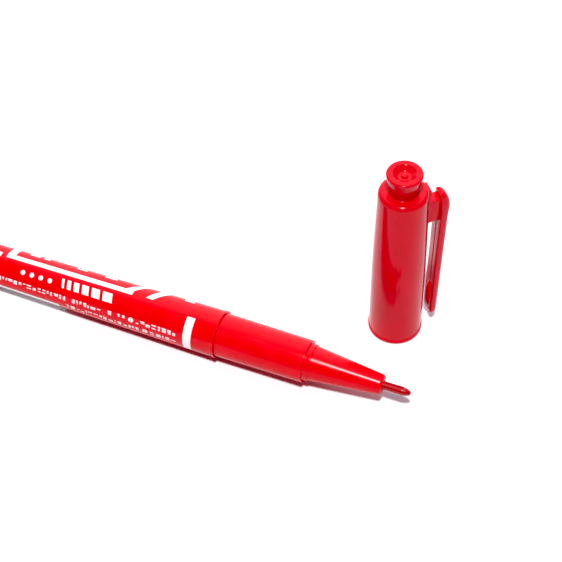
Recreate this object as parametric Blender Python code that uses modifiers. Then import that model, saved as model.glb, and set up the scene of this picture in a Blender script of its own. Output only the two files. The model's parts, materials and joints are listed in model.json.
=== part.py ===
"""Twin-tip calligraphy marker.

The pen lies along X with its fine nib towards +X. Its front cap is off and stands on its mouth
beside the cone, with its clip turned outwards. The rear cap is on, over a broad chisel nib.
The origin is on the floor, under the middle of the whole set.

Turned pieces of the front end are drawn as (radius, distance ahead of the barrel's front end), those
of the rear end as (radius, distance behind the barrel's rear end), and a cap's as (radius, height
above its mouth). Every outline runs down its outer side first.
"""
import math

import bmesh
import bpy

MM = 0.001
FIT = 0.3 * MM
EDGE = 0.12 * MM
MERGE = 0.001 * MM
BIG_STEPS = 40
SMALL_STEPS = 24
ARC_POINTS = 4

# Barrel: a slightly tapered tube with a fine lip round its front end
BARREL_LENGTH = 60.0 * MM
BARREL_LIP_R = 5.36 * MM
BARREL_LIP_LENGTH = 0.6 * MM
BARREL_FRONT_R = 5.28 * MM
BARREL_REAR_R = 4.58 * MM
BARREL_BORE_R = 3.90 * MM
AXIS_HEIGHT = BARREL_LIP_R

# Spigots that plug both sections into the barrel
SPIGOT_LENGTH = 6.0 * MM
SPIGOT_R = BARREL_BORE_R - FIT
SPIGOT_BORE_R = 2.6 * MM

# Fine nib: a fibre rod with a bullet end
NIB_R = 0.95 * MM
NIB_TIP = 43.3 * MM
NIB_BULLET_LENGTH = 1.8 * MM
NIB_POINT_R = 0.42 * MM
NIB_TAIL = -13.0 * MM
NIB_HOLE_R = NIB_R + FIT

# Front section: grip collar, sealing land and long cone
COLLAR_BASE_R = 4.89 * MM
COLLAR_TIP_R = 4.72 * MM
COLLAR_END = 20.2 * MM
LAND_R = 4.11 * MM
LAND_END = 21.4 * MM
CONE_BASE_R = 3.86 * MM
CONE_TIP_R = 2.18 * MM
CONE_END = 37.25 * MM
CONE_ROUND = 0.7 * MM
SECTION_WALL = 1.1 * MM
SECTION_BORE_START = 2.0 * MM
NIB_HOLE_LENGTH = 5.0 * MM

# Rear section: the same scheme, shorter, with a slot for the chisel nib
REAR_COLLAR_BASE_R = 4.0 * MM
REAR_COLLAR_TIP_R = 3.9 * MM
REAR_COLLAR_END = 10.0 * MM
REAR_LAND_R = 3.45 * MM
REAR_LAND_END = 11.2 * MM
REAR_MOUTH_BASE_R = 3.3 * MM
REAR_MOUTH_TIP_R = 3.05 * MM
REAR_MOUTH_END = 15.0 * MM
REAR_MOUTH_WALL = 3.0 * MM
REAR_BORE_R = 2.8 * MM

# Chisel nib: a flat felt bar, slanted at its writing end, with a narrower tail
CHISEL_WIDTH = 4.6 * MM
CHISEL_THICKNESS = 2.6 * MM
CHISEL_TIP = 20.4 * MM
CHISEL_SLANT = 2.2 * MM
CHISEL_TAIL_WIDTH = 3.0 * MM
CHISEL_TAIL = -13.0 * MM
CHISEL_NECK = 8.0 * MM

# Ink reservoir and the film round it, between the two spigots
RESERVOIR_R = 2.95 * MM
RESERVOIR_FRONT = -SPIGOT_LENGTH - FIT
RESERVOIR_REAR = SPIGOT_LENGTH + FIT - BARREL_LENGTH
SLEEVE_INNER_R = RESERVOIR_R + FIT
SLEEVE_OUTER_R = BARREL_BORE_R - FIT
TAIL_BORE_R = math.hypot(CHISEL_TAIL_WIDTH, CHISEL_THICKNESS) / 2 + FIT

# Front cap
CAP_LIP_R = 6.0 * MM
CAP_LIP_HEIGHT = 0.77 * MM
CAP_BASE_R = 5.84 * MM
CAP_BELLY_R = 5.70 * MM
CAP_BELLY = 23.0 * MM
CAP_SHOULDER_R = 5.15 * MM
CAP_SHOULDER = 42.9 * MM
CAP_KNOB_BASE_R = 2.99 * MM
CAP_KNOB_TOP_R = 3.8 * MM
CAP_TOP = 47.85 * MM
CAP_MOUTH_R = 5.3 * MM
CAP_BORE_BASE_R = 5.15 * MM
CAP_BORE_MID_R = 4.85 * MM
CAP_BORE_MID = 20.5 * MM
CAP_BORE_TOP_R = 4.25 * MM
CAP_BORE_TOP = 41.5 * MM
CAP_KNOB_BORE_R = 2.3 * MM
CAP_KNOB_BORE_TOP = 46.0 * MM

# Rear cap: the same scheme without a clip
REAR_CAP_LIP_R = BARREL_LIP_R
REAR_CAP_BASE_R = 5.22 * MM
REAR_CAP_SHOULDER_R = 4.95 * MM
REAR_CAP_SHOULDER = 23.3 * MM
REAR_CAP_KNOB_BASE_R = 3.65 * MM
REAR_CAP_KNOB_TOP_R = 4.2 * MM
REAR_CAP_TOP = 27.5 * MM
REAR_CAP_MOUTH_R = 4.42 * MM
REAR_CAP_BORE_R = 4.3 * MM
REAR_CAP_BORE_TOP = 22.0 * MM

# Details shared by both caps
MOUTH_BEVEL = 0.4 * MM
SHOULDER_ROUND = 1.5 * MM
KNOB_ROUND = 0.35 * MM
KNOB_RECESS_RATIO = 0.64
KNOB_RECESS_SLOPE = 0.55
KNOB_RECESS_DEPTH = 0.9 * MM
KNOB_NUB_RATIO = 0.18
KNOB_NUB_HEIGHT = 0.5 * MM

# Inner seal cups
SEAL_WALL = 0.32 * MM
SEAL_MOUTH = COLLAR_END + 0.5 * MM
SEAL_MOUTH_R = 4.48 * MM
SEAL_TIP_R = 1.95 * MM
SEAL_CONE_END = 41.0 * MM
SEAL_END = 45.4 * MM
REAR_SEAL_MOUTH = REAR_COLLAR_END + FIT
REAR_SEAL_R = REAR_CAP_BORE_R - FIT
REAR_SEAL_END = REAR_CAP_BORE_TOP - FIT

# Clip and the bridge that carries it, in (distance from the cap's axis, height)
CLIP_TURN = math.radians(40.0)
CLIP_WIDTH = 4.2 * MM
CLIP_TOP = 40.3 * MM
CLIP_BOTTOM = 2.2 * MM
CLIP_CORNER = 0.8 * MM
CLIP_FOOT_ROUND = 1.1 * MM
CLIP_HEEL = 4.0 * MM
CLIP_INNER_TOP_R = 7.85 * MM
CLIP_INNER_BOTTOM_R = 7.6 * MM
CLIP_OUTER_BOTTOM_R = 9.1 * MM
CLIP_OUTER_TOP_R = 9.95 * MM
CLIP_CREST = 36.7 * MM
CLIP_CREST_ROUND = 1.9 * MM
CLIP_BACK = 33.5 * MM
CLIP_BACK_R = 9.65 * MM
PIP_SIZE = (1.05 * MM, 1.4 * MM, 4.4 * MM)
PIP_PLACE = (7.9 * MM, 7.4 * MM)
BRIDGE_WIDTH = 3.0 * MM
BRIDGE_BOTTOM = 32.6 * MM
BRIDGE_TOP = 38.8 * MM
BRIDGE_END_R = 7.5 * MM
BRIDGE_ROOT_R = 4.75 * MM
PAD_END_R = 5.6 * MM
PAD_TOP = 42.2 * MM
HINGE_R = 7.6 * MM
HINGE_HEIGHT = (BRIDGE_BOTTOM + BRIDGE_TOP) / 2

# The raised rail that runs down the cap's wall behind the clip, in the same terms
RAIL_BOTTOM = 4.0 * MM
RAIL_BELLY = 14.0 * MM
RAIL_TOP = BRIDGE_BOTTOM + FIT
RAIL_BOTTOM_R = 5.86 * MM
RAIL_TOP_R = 5.44 * MM
RAIL_ROOT_BOTTOM_R = 5.30 * MM
RAIL_ROOT_TOP_R = 4.90 * MM

# Where the standing cap is, from the barrel's front end: ahead along X, and across along Y
CAP_AHEAD = 32.93 * MM
CAP_ACROSS = 20.66 * MM

# Turns a flat outline of (distance from the axis, height) upright
EDGE_ON = (math.pi / 2, 0, 0)

# The set's middle is the origin
SET_LENGTH = NIB_TIP + BARREL_LENGTH + FIT + REAR_CAP_TOP
CLIP_REACH = CLIP_OUTER_TOP_R * math.sin(CLIP_TURN) + CLIP_WIDTH / 2 * math.cos(CLIP_TURN)
SET_DEPTH = BARREL_LIP_R + CAP_ACROSS + CLIP_REACH
FRONT_X = SET_LENGTH / 2 - NIB_TIP
PEN_Y = BARREL_LIP_R - SET_DEPTH / 2

RED = (0.80, 0.010, 0.016, 1.0)
WINE_RED = (0.42, 0.006, 0.012, 1.0)
MILK_WHITE = (0.86, 0.85, 0.82, 1.0)
FILM_CLEAR = (0.75, 0.78, 0.80, 1.0)


def clear_scene():
    for obj in list(bpy.data.objects):
        bpy.data.objects.remove(obj, do_unlink=True)


def new_collection(name):
    collection = bpy.data.collections.new(name)
    bpy.context.scene.collection.children.link(collection)
    return collection


def make_material(name, colour, roughness):
    material = bpy.data.materials.new(name)
    material.use_nodes = True
    shader = material.node_tree.nodes["Principled BSDF"]
    shader.inputs["Base Color"].default_value = colour
    shader.inputs["Roughness"].default_value = roughness
    shader.inputs["Metallic"].default_value = 0.0
    return material


def make_empty(name, collection, parent=None, location=(0, 0, 0), rotation=(0, 0, 0)):
    empty = bpy.data.objects.new(name, None)
    empty.empty_display_size = 5 * MM
    empty.location = location
    empty.rotation_euler = rotation
    empty.parent = parent
    collection.objects.link(empty)
    return empty


def add_object(name, data, collection, parent, material=None):
    obj = bpy.data.objects.new(name, data)
    if material:
        data.materials.append(material)
    obj.parent = parent
    collection.objects.link(obj)
    return obj


def arc(centre, radius, start, end):
    """Points on an arc about centre, from start to end degrees."""
    points = []
    for step in range(ARC_POINTS + 1):
        angle = math.radians(start + (end - start) * step / ARC_POINTS)
        points.append((centre[0] + radius * math.cos(angle), centre[1] + radius * math.sin(angle)))
    return points


def turned(name, outline, steps, collection, parent, material):
    """Spins an outline of (radius, height) points round local Z."""
    mesh = bpy.data.meshes.new(name)
    count = len(outline)
    edges = [(index, index + 1) for index in range(count - 1)]
    is_ring = outline[0][0] > MERGE
    if is_ring:
        edges.append((count - 1, 0))
    mesh.from_pydata([(radius, 0, height) for radius, height in outline], edges, [])
    obj = add_object(name, mesh, collection, parent, material)
    spin = obj.modifiers.new("Turn", "SCREW")
    spin.steps = steps
    spin.render_steps = steps
    spin.use_merge_vertices = True
    spin.merge_threshold = MERGE
    spin.use_smooth_shade = True
    return obj


def solid_from_curve(curve_object, collection):
    """Turns an extruded flat curve into a closed mesh object in the same place."""
    bpy.context.view_layer.update()
    depsgraph = bpy.context.evaluated_depsgraph_get()
    mesh = bpy.data.meshes.new_from_object(curve_object.evaluated_get(depsgraph))
    edit = bmesh.new()
    edit.from_mesh(mesh)
    bmesh.ops.remove_doubles(edit, verts=edit.verts, dist=MERGE)
    bmesh.ops.recalc_face_normals(edit, faces=edit.faces)
    edit.to_mesh(mesh)
    edit.free()
    solid = bpy.data.objects.new(curve_object.name + "_solid", mesh)
    solid.parent = curve_object.parent
    solid.matrix_local = curve_object.matrix_local.copy()
    collection.objects.link(solid)
    bpy.data.objects.remove(curve_object, do_unlink=True)
    return solid


def flat_plate(name, outline, thickness, collection, parent, rotation):
    """Extrudes a flat outline by its thickness, half to each side of its plane."""
    curve = bpy.data.curves.new(name, "CURVE")
    curve.dimensions = "2D"
    curve.fill_mode = "BOTH"
    curve.extrude = thickness / 2
    spline = curve.splines.new("POLY")
    spline.points.add(len(outline) - 1)
    for point, (x, y) in zip(spline.points, outline):
        point.co = (x, y, 0, 1)
    spline.use_cyclic_u = True
    obj = add_object(name, curve, collection, parent)
    obj.rotation_euler = rotation
    return solid_from_curve(obj, collection)


def box(name, low, high, collection, parent):
    """A box between two corners, in its parent's frame."""
    edit = bmesh.new()
    bmesh.ops.create_cube(edit, size=1.0)
    size = [top - bottom for bottom, top in zip(low, high)]
    middle = [(top + bottom) / 2 for bottom, top in zip(low, high)]
    bmesh.ops.scale(edit, vec=size, verts=edit.verts)
    bmesh.ops.translate(edit, vec=middle, verts=edit.verts)
    mesh = bpy.data.meshes.new(name)
    edit.to_mesh(mesh)
    edit.free()
    return add_object(name, mesh, collection, parent)


def as_cutter(obj):
    obj.hide_render = True
    obj.display_type = "WIRE"
    return obj


def combine(obj, tool, operation):
    """Joins, cuts or trims obj with a tool, which is kept as a guide."""
    boolean = obj.modifiers.new(tool.name, "BOOLEAN")
    boolean.operation = operation
    boolean.solver = "EXACT"
    boolean.object = as_cutter(tool)


def barrel_outline():
    return [
        (BARREL_BORE_R, 0),
        (BARREL_LIP_R - EDGE, 0),
        (BARREL_LIP_R, -EDGE),
        (BARREL_LIP_R, -BARREL_LIP_LENGTH),
        (BARREL_FRONT_R, -BARREL_LIP_LENGTH - EDGE),
        (BARREL_REAR_R, EDGE - BARREL_LENGTH),
        (BARREL_REAR_R - EDGE, -BARREL_LENGTH),
        (BARREL_BORE_R, -BARREL_LENGTH),
    ]


def front_section_outline():
    mouth = (CONE_TIP_R - CONE_ROUND, CONE_END - CONE_ROUND)
    outer = [(NIB_HOLE_R, CONE_END)] + arc(mouth, CONE_ROUND, 90, 0) + [
        (CONE_BASE_R, LAND_END),
        (LAND_R - EDGE, LAND_END),
        (LAND_R, LAND_END - EDGE),
        (LAND_R, COLLAR_END),
        (COLLAR_TIP_R - EDGE, COLLAR_END),
        (COLLAR_TIP_R, COLLAR_END - EDGE),
        (COLLAR_BASE_R, FIT),
        (SPIGOT_R, FIT),
        (SPIGOT_R, -SPIGOT_LENGTH),
    ]
    inner = [
        (SPIGOT_BORE_R, -SPIGOT_LENGTH),
        (SPIGOT_BORE_R, SECTION_BORE_START),
        (COLLAR_BASE_R - SECTION_WALL, SECTION_BORE_START + SECTION_WALL),
        (COLLAR_TIP_R - SECTION_WALL, COLLAR_END - 2 * SECTION_WALL),
        (CONE_BASE_R - SECTION_WALL, LAND_END),
        (NIB_HOLE_R, CONE_END - NIB_HOLE_LENGTH),
    ]
    return outer + inner


def fine_nib_outline():
    bullet_start = NIB_TIP - NIB_BULLET_LENGTH
    point = arc((0, NIB_TIP - NIB_POINT_R), NIB_POINT_R, 90, 20)
    return point + [
        (NIB_R * 0.82, bullet_start + NIB_BULLET_LENGTH * 0.42),
        (NIB_R, bullet_start),
        (NIB_R, NIB_TAIL),
        (0, NIB_TAIL),
    ]


def rear_section_outline():
    """Closed at its mouth, where the nib's slot is cut afterwards."""
    return [
        (0, REAR_MOUTH_END),
        (REAR_MOUTH_TIP_R - EDGE, REAR_MOUTH_END),
        (REAR_MOUTH_TIP_R, REAR_MOUTH_END - EDGE),
        (REAR_MOUTH_BASE_R, REAR_LAND_END),
        (REAR_LAND_R, REAR_LAND_END),
        (REAR_LAND_R, REAR_COLLAR_END),
        (REAR_COLLAR_TIP_R, REAR_COLLAR_END),
        (REAR_COLLAR_BASE_R, FIT),
        (SPIGOT_R, FIT),
        (SPIGOT_R, -SPIGOT_LENGTH),
        (SPIGOT_BORE_R, -SPIGOT_LENGTH),
        (SPIGOT_BORE_R, SECTION_BORE_START),
        (REAR_BORE_R, SECTION_BORE_START + SECTION_WALL),
        (REAR_BORE_R, REAR_MOUTH_END - REAR_MOUTH_WALL),
        (0, REAR_MOUTH_END - REAR_MOUTH_WALL),
    ]


def reservoir_outline():
    """A rod with a blind bore in each end: the fine nib's in front, the chisel nib's behind."""
    front_bore = NIB_TAIL - FIT
    rear_bore = -BARREL_LENGTH - CHISEL_TAIL + FIT
    return [
        (0, front_bore),
        (NIB_HOLE_R, front_bore),
        (NIB_HOLE_R, RESERVOIR_FRONT),
        (RESERVOIR_R, RESERVOIR_FRONT),
        (RESERVOIR_R, RESERVOIR_REAR),
        (TAIL_BORE_R, RESERVOIR_REAR),
        (TAIL_BORE_R, rear_bore),
        (0, rear_bore),
    ]


def sleeve_outline():
    return [
        (SLEEVE_INNER_R, RESERVOIR_FRONT),
        (SLEEVE_OUTER_R, RESERVOIR_FRONT),
        (SLEEVE_OUTER_R, RESERVOIR_REAR),
        (SLEEVE_INNER_R, RESERVOIR_REAR),
    ]


def cap_outline(lip_r, base_r, belly, shoulder_r, shoulder, knob_base_r, knob_top_r, top, inside):
    """A cap's section: dished knob, shoulder, wall and rim, then its inside from the mouth up.

    The belly is a list of the points at which the wall changes its slope.
    """
    recess_r = knob_top_r * KNOB_RECESS_RATIO
    nub_r = knob_top_r * KNOB_NUB_RATIO
    floor = top - KNOB_RECESS_DEPTH
    dish = [
        (0, floor + KNOB_NUB_HEIGHT),
        (nub_r, floor + KNOB_NUB_HEIGHT),
        (nub_r, floor),
        (recess_r * KNOB_RECESS_SLOPE, floor),
        (recess_r, top),
    ]
    knob = arc((knob_top_r - KNOB_ROUND, top - KNOB_ROUND), KNOB_ROUND, 90, 0)
    wall = [(knob_base_r, shoulder)]
    wall += arc((shoulder_r - SHOULDER_ROUND, shoulder - SHOULDER_ROUND), SHOULDER_ROUND, 90, 0)
    rim = [
        (base_r, CAP_LIP_HEIGHT + EDGE),
        (lip_r, CAP_LIP_HEIGHT),
        (lip_r, EDGE),
        (lip_r - EDGE, 0),
    ]
    return dish + knob + wall + belly + rim + inside


def front_cap_outline():
    inside = [
        (CAP_MOUTH_R, 0),
        (CAP_BORE_BASE_R, MOUTH_BEVEL),
        (CAP_BORE_MID_R, CAP_BORE_MID),
        (CAP_BORE_TOP_R, CAP_BORE_TOP),
        (CAP_KNOB_BORE_R, CAP_BORE_TOP),
        (CAP_KNOB_BORE_R, CAP_KNOB_BORE_TOP),
        (0, CAP_KNOB_BORE_TOP),
    ]
    return cap_outline(CAP_LIP_R, CAP_BASE_R, [(CAP_BELLY_R, CAP_BELLY)], CAP_SHOULDER_R,
                       CAP_SHOULDER, CAP_KNOB_BASE_R, CAP_KNOB_TOP_R, CAP_TOP, inside)


def rear_cap_outline():
    inside = [
        (REAR_CAP_MOUTH_R, 0),
        (REAR_CAP_BORE_R, MOUTH_BEVEL),
        (REAR_CAP_BORE_R, REAR_CAP_BORE_TOP),
        (0, REAR_CAP_BORE_TOP),
    ]
    return cap_outline(REAR_CAP_LIP_R, REAR_CAP_BASE_R, [], REAR_CAP_SHOULDER_R, REAR_CAP_SHOULDER,
                       REAR_CAP_KNOB_BASE_R, REAR_CAP_KNOB_TOP_R, REAR_CAP_TOP, inside)


def front_seal_outline():
    """A long cup that follows the section's cone and ends in the knob's hollow."""
    return [
        (0, SEAL_END),
        (SEAL_TIP_R, SEAL_END),
        (SEAL_TIP_R, SEAL_CONE_END),
        (SEAL_MOUTH_R, SEAL_MOUTH + SECTION_WALL),
        (SEAL_MOUTH_R, SEAL_MOUTH),
        (SEAL_MOUTH_R - SEAL_WALL, SEAL_MOUTH),
        (SEAL_MOUTH_R - SEAL_WALL, SEAL_MOUTH + SECTION_WALL),
        (SEAL_TIP_R - SEAL_WALL, SEAL_CONE_END),
        (SEAL_TIP_R - SEAL_WALL, SEAL_END - SEAL_WALL),
        (0, SEAL_END - SEAL_WALL),
    ]


def rear_seal_outline():
    return [
        (0, REAR_SEAL_END),
        (REAR_SEAL_R, REAR_SEAL_END),
        (REAR_SEAL_R, REAR_SEAL_MOUTH),
        (REAR_SEAL_R - SEAL_WALL, REAR_SEAL_MOUTH),
        (REAR_SEAL_R - SEAL_WALL, REAR_SEAL_END - SEAL_WALL),
        (0, REAR_SEAL_END - SEAL_WALL),
    ]


def add_pen_front(collection, materials):
    """Everything that turns about the pen's axis and is placed from the barrel's front end."""
    mount = make_empty("pen_front", collection, location=(FRONT_X, PEN_Y, AXIS_HEIGHT),
                       rotation=(0, math.pi / 2, 0))
    pieces = [
        ("barrel", barrel_outline(), BIG_STEPS, "red"),
        ("front_section", front_section_outline(), BIG_STEPS, "red"),
        ("fine_nib", fine_nib_outline(), SMALL_STEPS, "nib"),
        ("ink_reservoir", reservoir_outline(), SMALL_STEPS, "nib"),
        ("reservoir_sleeve", sleeve_outline(), SMALL_STEPS, "film"),
    ]
    for name, outline, steps, material in pieces:
        turned(name, outline, steps, collection, mount, materials[material])


def add_chisel_nib(collection, cutters, mount, materials):
    """The flat nib, and the slot that it needs in the rear section's mouth."""
    half = CHISEL_WIDTH / 2
    tail = CHISEL_TAIL_WIDTH / 2
    outline = [
        (-half, CHISEL_TIP - CHISEL_SLANT),
        (-half, CHISEL_NECK),
        (-tail, CHISEL_NECK - half),
        (-tail, CHISEL_TAIL),
        (tail, CHISEL_TAIL),
        (tail, CHISEL_NECK - half),
        (half, CHISEL_NECK),
        (half, CHISEL_TIP),
    ]
    upright_and_across = (math.pi / 2, 0, math.pi / 2)
    nib = flat_plate("chisel_nib", outline, CHISEL_THICKNESS, collection, mount, upright_and_across)
    nib.name = "chisel_nib"
    nib.data.materials.append(materials["nib"])
    corner = (CHISEL_THICKNESS / 2 + FIT, half + FIT)
    slot = box("nib_slot", (-corner[0], -corner[1], REAR_MOUTH_END - 2 * REAR_MOUTH_WALL),
               (corner[0], corner[1], REAR_MOUTH_END + REAR_MOUTH_WALL), cutters, mount)
    return slot


def add_pen_rear(collection, cutters, materials):
    """The rear section, its nib and its cap, placed from the barrel's rear end."""
    rear_x = FRONT_X - BARREL_LENGTH
    mount = make_empty("pen_rear", collection, location=(rear_x, PEN_Y, AXIS_HEIGHT),
                       rotation=(0, -math.pi / 2, 0))
    section = turned("rear_section", rear_section_outline(), BIG_STEPS, collection, mount,
                     materials["red"])
    combine(section, add_chisel_nib(collection, cutters, mount, materials), "DIFFERENCE")
    cap_mount = make_empty("rear_cap_seat", collection, parent=mount, location=(0, 0, FIT))
    turned("rear_cap", rear_cap_outline(), BIG_STEPS, collection, cap_mount, materials["cap"])
    turned("rear_cap_seal", rear_seal_outline(), SMALL_STEPS, collection, cap_mount,
           materials["seal"])


def clip_outline():
    """The clip's side view, relative to its hinge: up its inner face and down its outer one."""
    crest = [(CLIP_OUTER_TOP_R + CLIP_CREST_ROUND * (across - 1),
              CLIP_CREST + (CLIP_TOP - CLIP_CREST) * up) for across, up in arc((0, 0), 1, 80, 0)]
    points = [
        (CLIP_INNER_BOTTOM_R, CLIP_BOTTOM),
        (CLIP_INNER_TOP_R, BRIDGE_TOP),
        (CLIP_INNER_TOP_R - 2 * EDGE, CLIP_TOP - 2 * EDGE),
    ]
    points += crest + [
        (CLIP_BACK_R, CLIP_BACK),
        (CLIP_OUTER_BOTTOM_R, CLIP_HEEL),
        (CLIP_OUTER_BOTTOM_R - CLIP_CORNER, CLIP_BOTTOM),
    ]
    return [(radius - HINGE_R, height - HINGE_HEIGHT) for radius, height in points]


def clip_face_outline():
    """The clip's front view, relative to its hinge: a strip with round corners."""
    half = CLIP_WIDTH / 2
    top = CLIP_TOP - HINGE_HEIGHT + EDGE
    foot = CLIP_BOTTOM - HINGE_HEIGHT - EDGE
    inset = half - CLIP_CORNER
    foot_inset = half - CLIP_FOOT_ROUND
    return (arc((-foot_inset, foot + CLIP_FOOT_ROUND), CLIP_FOOT_ROUND, 180, 270)
            + arc((foot_inset, foot + CLIP_FOOT_ROUND), CLIP_FOOT_ROUND, 270, 360)
            + arc((inset, top - CLIP_CORNER), CLIP_CORNER, 0, 90)
            + arc((-inset, top - CLIP_CORNER), CLIP_CORNER, 90, 180))


def rail_outline():
    """The rail's side view in the cap's frame: down its outer face and up inside the wall."""
    return [
        (RAIL_ROOT_TOP_R, RAIL_TOP),
        (RAIL_TOP_R, RAIL_TOP),
        (RAIL_BOTTOM_R - EDGE / 2, RAIL_BELLY),
        (RAIL_BOTTOM_R, RAIL_BOTTOM + EDGE),
        (RAIL_BOTTOM_R - EDGE, RAIL_BOTTOM),
        (RAIL_ROOT_BOTTOM_R, RAIL_BOTTOM),
    ]


def add_pip(cutters, hinge):
    """The round pip inside the clip's lower end, which presses on cloth."""
    edit = bmesh.new()
    bmesh.ops.create_uvsphere(edit, u_segments=16, v_segments=10, radius=1.0)
    bmesh.ops.scale(edit, vec=PIP_SIZE, verts=edit.verts)
    place = (PIP_PLACE[0] - HINGE_R, 0, PIP_PLACE[1] - HINGE_HEIGHT)
    bmesh.ops.translate(edit, vec=place, verts=edit.verts)
    mesh = bpy.data.meshes.new("clip_pip")
    edit.to_mesh(mesh)
    edit.free()
    return add_object("clip_pip", mesh, cutters, hinge)


def add_clip(collection, cutters, stand, materials):
    """The clip is placed by an empty on its flexing line, at the outer end of the bridge."""
    hinge = make_empty("clip_hinge", collection, parent=stand, location=(HINGE_R, 0, HINGE_HEIGHT))
    face_on = (math.pi / 2, 0, math.pi / 2)
    clip = flat_plate("clip", clip_outline(), CLIP_WIDTH + 4 * FIT, collection, hinge, EDGE_ON)
    clip.name = "clip"
    clip.data.materials.append(materials["cap"])
    reach = 4 * (CLIP_OUTER_TOP_R - HINGE_R)
    combine(clip, flat_plate("clip_face", clip_face_outline(), reach, cutters, hinge, face_on),
            "INTERSECT")
    combine(clip, add_pip(cutters, hinge), "UNION")


def add_standing_cap(collection, cutters, materials):
    """The front cap on the floor, turned so that its clip points along the stand's local X."""
    stand = make_empty("cap_stand", collection,
                       location=(FRONT_X + CAP_AHEAD, PEN_Y + CAP_ACROSS, 0),
                       rotation=(0, 0, CLIP_TURN))
    cap = turned("front_cap", front_cap_outline(), BIG_STEPS, collection, stand, materials["cap"])
    half = BRIDGE_WIDTH / 2
    combine(cap, box("clip_pad", (BRIDGE_ROOT_R, -half, BRIDGE_BOTTOM), (PAD_END_R, half, PAD_TOP),
                     cutters, stand), "UNION")
    combine(cap, box("clip_bridge", (BRIDGE_ROOT_R + EDGE, EDGE - half, BRIDGE_BOTTOM + EDGE),
                     (BRIDGE_END_R, half - EDGE, BRIDGE_TOP), cutters, stand), "UNION")
    combine(cap, flat_plate("clip_rail", rail_outline(), BRIDGE_WIDTH - EDGE, cutters, stand,
                            EDGE_ON), "UNION")
    turned("front_cap_seal", front_seal_outline(), SMALL_STEPS, collection, stand,
           materials["seal"])
    add_clip(collection, cutters, stand, materials)


def main():
    clear_scene()
    marker = new_collection("calligraphy_marker")
    cutters = new_collection("cutters")
    materials = {
        "red": make_material("red_plastic", RED, 0.18),
        "cap": make_material("cap_plastic", RED, 0.15),
        "nib": make_material("inked_fibre", WINE_RED, 0.6),
        "seal": make_material("seal_plastic", MILK_WHITE, 0.35),
        "film": make_material("sleeve_film", FILM_CLEAR, 0.2),
    }
    add_pen_front(marker, materials)
    add_pen_rear(marker, cutters, materials)
    add_standing_cap(marker, cutters, materials)


main()
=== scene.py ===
"""The looks of the twin-tip calligraphy marker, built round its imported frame.

Every length is in metres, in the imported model's own frame. Each turned piece has a local frame whose
Z runs along its axis: the pen's front end and its rear end point away from the barrel, with local X
up and local Y to one side. The front cap's Z is up and its X points towards its clip. An outline's
corner is (radius, height, size of its rounding). Only the caps' bores, the printed marks and the
camera's lens and sensor are given in millimetres.
"""
import json
import math
import random

import bmesh
import bpy
from mathutils import Matrix, Vector


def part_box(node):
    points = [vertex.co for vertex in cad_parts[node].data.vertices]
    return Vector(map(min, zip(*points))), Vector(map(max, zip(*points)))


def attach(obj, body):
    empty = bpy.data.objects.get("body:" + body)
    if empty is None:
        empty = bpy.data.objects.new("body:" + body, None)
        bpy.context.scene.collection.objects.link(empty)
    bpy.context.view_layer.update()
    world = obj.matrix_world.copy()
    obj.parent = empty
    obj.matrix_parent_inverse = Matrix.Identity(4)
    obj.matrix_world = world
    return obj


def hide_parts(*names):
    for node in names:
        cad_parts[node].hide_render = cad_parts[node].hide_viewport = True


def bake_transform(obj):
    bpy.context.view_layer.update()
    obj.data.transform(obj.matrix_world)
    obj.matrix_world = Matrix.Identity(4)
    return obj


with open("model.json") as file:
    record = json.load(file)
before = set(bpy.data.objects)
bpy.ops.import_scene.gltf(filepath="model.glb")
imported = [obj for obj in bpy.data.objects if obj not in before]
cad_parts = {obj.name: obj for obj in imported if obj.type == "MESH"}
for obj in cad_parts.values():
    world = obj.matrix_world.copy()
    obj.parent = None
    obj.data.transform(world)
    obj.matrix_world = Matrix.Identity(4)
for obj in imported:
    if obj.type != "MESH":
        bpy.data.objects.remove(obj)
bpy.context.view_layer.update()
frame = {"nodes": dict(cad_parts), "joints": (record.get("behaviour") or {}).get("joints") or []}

MM = 0.001
TINY = 0.001 * MM
UP = Vector((0, 0, 1))

# Fineness, roundings, and the angle from which an edge is shaded sharp
TURN_STEPS = 144
ROUND_STEPS = 4
ROUND_REACH = 0.45
SUPPORT = 0.08 * MM
SHARP = 0.15 * MM
SOFT = 0.3 * MM
SHARP_ANGLE = math.radians(32)

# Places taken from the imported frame
BARREL_LOW, BARREL_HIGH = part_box("barrel")
SEAL_LOW, SEAL_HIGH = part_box("front_cap_seal")
FRONT = Vector((BARREL_HIGH.x, (BARREL_LOW.y + BARREL_HIGH.y) / 2, (BARREL_LOW.z + BARREL_HIGH.z) / 2))
REAR = Vector((BARREL_LOW.x, FRONT.y, FRONT.z))
STAND = Vector(((SEAL_LOW.x + SEAL_HIGH.x) / 2, (SEAL_LOW.y + SEAL_HIGH.y) / 2, 0))
CLIP_JOINT = next(joint for joint in frame["joints"] if joint["name"] == "clip_flex")
CLIP_OUTWARD = UP.cross(Vector(CLIP_JOINT["axis"]))

# Barrel
BARREL_LENGTH = FRONT.x - REAR.x
BARREL_LIP_R = (BARREL_HIGH.z - BARREL_LOW.z) / 2
BARREL_LIP_LENGTH = 0.6 * MM
BARREL_FRONT_R = 5.28 * MM
BARREL_REAR_R = 4.58 * MM
BARREL_BORE_R = 3.9 * MM

# Sections and their spigots
SPIGOT_LENGTH = 6.0 * MM
SPIGOT_R = 3.6 * MM
SPIGOT_BORE_R = 2.6 * MM
SEAT = 0.03 * MM
COLLAR_BASE_R = 4.89 * MM
COLLAR_TIP_R = 4.72 * MM
COLLAR_END = 20.2 * MM
LAND_R = 4.11 * MM
LAND_END = 21.4 * MM
CONE_BASE_R = 3.86 * MM
CONE_TIP_R = 2.18 * MM
CONE_END = 37.25 * MM
CONE_ROUND = 0.7 * MM
SECTION_WALL = 1.1 * MM
NIB_HOLE_R = 1.08 * MM
NIB_HOLE_DEPTH = 5.0 * MM

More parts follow.
